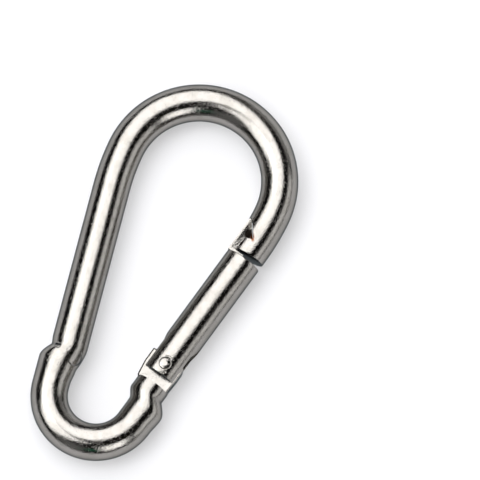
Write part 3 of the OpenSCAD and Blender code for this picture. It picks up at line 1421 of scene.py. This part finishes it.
    def material(self) -> bpy.types.Material:
        """Makes the finish.

        Returns:
            The material.
        """
        finish = Finish(self.name)
        finish.shader.inputs["Metallic"].default_value = 1.0
        finish.shader.inputs["Specular Tint"].default_value = linear(self.edge_tint)
        place = finish.add("TexCoord").outputs["Object"]
        self.tone(finish, place)
        self.relief(finish, place)
        return finish.material


@dataclass(frozen=True)
class MachinedSteel:
    """Plain steel with the fine even lines that its tool left, such as turning rings or a die's draw lines.

    The lines are too fine to see one by one, so they are drawn coarser and read as a soft silky sheen.
    They lie square to the gate's length, which leans from +Y.
    """

    name: str
    colour: str
    roughness: float
    line_mm: float
    line_depth_mm: float
    lean: float
    cloud_mm: float = 2.0
    # How the roughness varies from place to place, as a share of its middle value
    uneven: Point = (0.8, 1.3)
    waver: float = 0.4

    def material(self) -> bpy.types.Material:
        """Makes the finish.

        Returns:
            The material.
        """
        finish = Finish(self.name)
        finish.shader.inputs["Base Color"].default_value = linear(self.colour)
        finish.shader.inputs["Metallic"].default_value = 1.0
        place = finish.add("TexCoord").outputs["Object"]
        upright = finish.add("Mapping", {"Vector": place, "Rotation": (0, 0, self.lean)}).outputs["Vector"]
        pattern = {"Vector": upright, "Scale": per_mm(self.line_mm) / math.tau, "Distortion": self.waver}
        rings = finish.add("TexWave", pattern, bands_direction="Y")
        clouds = finish.add("TexNoise", {"Vector": place, "Scale": per_mm(self.cloud_mm), "Detail": 3.0})
        low, high = (share * self.roughness for share in self.uneven)
        rough = finish.add("MapRange", {"Value": clouds.outputs["Fac"], "To Min": low, "To Max": high})
        finish.feed("Roughness", rough.outputs["Result"])
        depth = {"Height": rings.outputs["Fac"], "Distance": self.line_depth_mm * MM}
        finish.feed("Normal", finish.add("Bump", depth).outputs["Normal"])
        return finish.material


@dataclass(frozen=True)
class Paper:
    """Matt backdrop paper without a shine of its own, so the eye sees only its white and soft shadows.

    Its glow is added to what is seen straight or in the metal, where 1 is white, and lights nothing.
    """

    name: str
    colour: str
    glow: float

    def material(self) -> bpy.types.Material:
        """Makes the finish.

        Returns:
            The material.
        """
        finish = Finish(self.name)
        finish.shader.inputs["Base Color"].default_value = linear(self.colour)
        finish.shader.inputs["Roughness"].default_value = 1.0
        finish.shader.inputs["Specular IOR Level"].default_value = 0.0
        rays = finish.add("LightPath")
        seen = rays.outputs["Is Camera Ray"]
        for ray in ("Is Glossy Ray", "Is Transmission Ray"):
            seen = finish.add("Math", {0: seen, 1: rays.outputs[ray]}, operation="MAXIMUM").outputs["Value"]
        strength = finish.add("Math", {0: seen, 1: self.glow}, operation="MULTIPLY").outputs["Value"]
        finish.shader.inputs["Emission Color"].default_value = linear("#ffffff")
        finish.feed("Emission Strength", strength)
        return finish.material


def marked_plate(lines: SettingOut) -> PlatedSteel:
    """Sets out the marks on the plate: the die's beside the spine, rust in the notch, and painted shade in
    the notch and along the gap beside the claw.

    Args:
        lines: the hook's lines.

    Returns:
        The plate with its marks.
    """
    up_spine = math.pi / 2 + lines.lean
    up_notch = math.pi / 2 - lines.lean
    rusty = up_notch + math.radians(42)
    shade_turn = up_notch + math.radians(15)
    return PlatedSteel(
        die_marks=(
            Patch(lines.beside_spine(-9.5 * MM, -2.4 * MM), up_spine, 2.8 * MM, 2.1 * MM, blur=0.07),
            Patch(lines.beside_spine(-7.6 * MM, 3.0 * MM), up_spine, 1.1 * MM, 0.9 * MM, blur=0.15),
        ),
        rust=(Patch(lines.at(46.0 * MM, -1.5 * MM), rusty, 1.6 * MM, 0.55 * MM, blur=0.3, ragged=0.3),),
        # Painted shade: dark patches where shade falls, in the notch under the claw's tip and along the gap
        # beside its shank
        painted_shade=(
            Patch(lines.at(46.4 * MM, -3.3 * MM), shade_turn, 1.7 * MM, 1.15 * MM, blur=0.3, ragged=0.4),
            Patch(lines.at(42.6 * MM, -2.9 * MM), up_notch, 1.4 * MM, 0.45 * MM, blur=0.3, ragged=0.3),
        ),
    )


# ---------------------------------------------------------------------------------------------
# Studio


@dataclass(frozen=True)
class Softbox:
    """An evenly bright rectangle that hangs in the studio.

    Directions are seen from the hook by someone who faces the way the camera does: bearing runs
    anticlockwise from their right, and zenith is the angle from straight up, both in degrees.
    """

    name: str
    bearing: float
    zenith: float
    distance: float
    width: float
    height: float
    radiance: float
    roll: float = 0.0
    level: bool = False
    colour: str = "#ffffff"


@dataclass
class Studio:
    """Paper floor, softboxes and camera."""

    aim: Vector = field(default_factory=lambda: Vector((18.4, 19.8, 5.5)) * MM)
    azimuth: float = math.radians(25)
    elevation: float = math.radians(77)
    distance: float = 4.0
    lens: float = 1020.0
    far_clip: float = 100.0
    floor_size: float = 60.0
    backdrop_r: float = 25.0
    backdrop_height: float = 1.2
    paper: str = "#b1b1b4"
    paper_glow: float = 0.4
    backdrop_glow: float = 1.0
    darkness: str = "#181615"
    # Name, bearing, zenith, distance, width, height and radiance of each
    softboxes: tuple[Softbox, ...] = (
        Softbox("key_softbox", 106, 50.1, 7.8, 7.25, 11.5, 3.4, level=True),
        Softbox("side_softbox", 195, 48.7, 7.6, 8.75, 4.25, 3.4, roll=20, level=True),
        Softbox("front_softbox", 293, 58, 6.0, 2.8, 3.2, 3.4),
        Softbox("side_wall", -12, 67, 6.4, 6.4, 2.9, 1.35),
        Softbox("far_wall", 45, 76, 6.4, 4.5, 3.0, 0.45),
        Softbox("near_wall", 238, 66, 6.4, 3.4, 4.0, 0.25),
        Softbox("green_cloth", 264, 63, 6.0, 1.5, 1.1, 0.9, colour="#3f8a6c"),
    )

    def back(self) -> Vector:
        """Works out where the camera stands.

        Returns:
            The direction from the hook to the camera.
        """
        level = math.cos(self.elevation)
        x, y = math.sin(self.azimuth) * level, -math.cos(self.azimuth) * level
        return Vector((x, y, math.sin(self.elevation)))

    def camera(self) -> None:
        """Sets up the camera."""
        data = bpy.data.cameras.new("camera")
        data.lens = self.lens
        data.clip_end = self.far_clip
        camera = bpy.data.objects.new("camera", data)
        bpy.context.scene.collection.objects.link(camera)
        camera.location = self.aim + self.distance * self.back()
        camera.rotation_euler = self.back().to_track_quat("Z", "Y").to_euler()
        bpy.context.scene.camera = camera

    def floor(self) -> None:
        """Lays the floor and stands a low backdrop round it, far out."""
        object_mode()
        bpy.ops.mesh.primitive_plane_add(size=self.floor_size)
        floor = name_new("floor")
        dress(floor, Paper("white_paper", self.paper, self.paper_glow).material())
        object_mode()
        bpy.ops.mesh.primitive_cylinder_add(
            vertices=128,
            radius=self.backdrop_r,
            depth=self.backdrop_height,
            end_fill_type="NOTHING",
            location=(0, 0, self.backdrop_height / 2),
        )
        backdrop = name_new("backdrop")
        dress(backdrop, Paper("backdrop_paper", self.paper, self.backdrop_glow).material())

    def hang(self, box: Softbox) -> None:
        """Hangs a softbox so that it faces the hook, or straight down if it is level.

        Args:
            box: the softbox.
        """
        data = bpy.data.lights.new(box.name, "AREA")
        data.shape = "RECTANGLE"
        data.size, data.size_y = box.width, box.height
        data.color = linear(box.colour)[:3]
        data.energy = box.radiance * math.pi * box.width * box.height
        lamp = bpy.data.objects.new(box.name, data)
        bpy.context.scene.collection.objects.link(lamp)
        way = math.radians(box.bearing) + self.azimuth
        off = math.radians(box.zenith)
        direction = Vector((math.sin(off) * math.cos(way), math.sin(off) * math.sin(way), math.cos(off)))
        lamp.location = direction * box.distance
        if box.level:
            lamp.rotation_euler = (0, 0, math.radians(box.roll) + self.azimuth)
        else:
            lamp.rotation_euler = direction.to_track_quat("Z", "Y").to_euler()

    def build(self) -> None:
        """Sets up the whole studio."""
        self.camera()
        self.floor()
        for box in self.softboxes:
            self.hang(box)
        world = bpy.data.worlds.new("studio")
        bpy.context.scene.world = world
        world.use_nodes = True
        world.node_tree.nodes["Background"].inputs["Color"].default_value = linear(self.darkness)
        bpy.context.scene.view_settings.view_transform = "Standard"


def main() -> None:
    """Builds every piece in order and reports it."""
    logging.basicConfig(level=logging.INFO, format="%(name)s: %(message)s")
    lines = SettingOut.from_frame(eye_bore=16.5 * MM)
    Studio().build()
    plate = marked_plate(lines).material()
    turned = MachinedSteel("turned_steel", "#8f9093", 0.32, line_mm=0.25, line_depth_mm=0.01, lean=lines.lean)
    drawn = MachinedSteel(
        "drawn_spring_wire", "#8a8c92", 0.38, line_mm=0.3, line_depth_mm=0.006, lean=lines.lean
    )
    claw = ClawSizes()
    bar = HookBar(lines, claw)
    bar.install(plate, node="body", body="body", slot="bar")
    gate = SleeveGate(lines, claw, rim=bar.nose() - claw.gap)
    gate.install(plate, node="gate", body="gate", slot="sleeve")
    PivotRivet(lines).install(plate, node="rivet", body="gate", slot="rivet")
    dress(frame["nodes"]["plunger"], turned.material())
    LOG.info("plunger: dressed in %s", turned.name)
    spring = CoilSpring(lines, high=gate.spring_top())
    coil = spring.install(drawn.material(), node="spring", body="gate", slot="spring")
    spring.compress(coil)


if __name__ == "__main__":
    main()
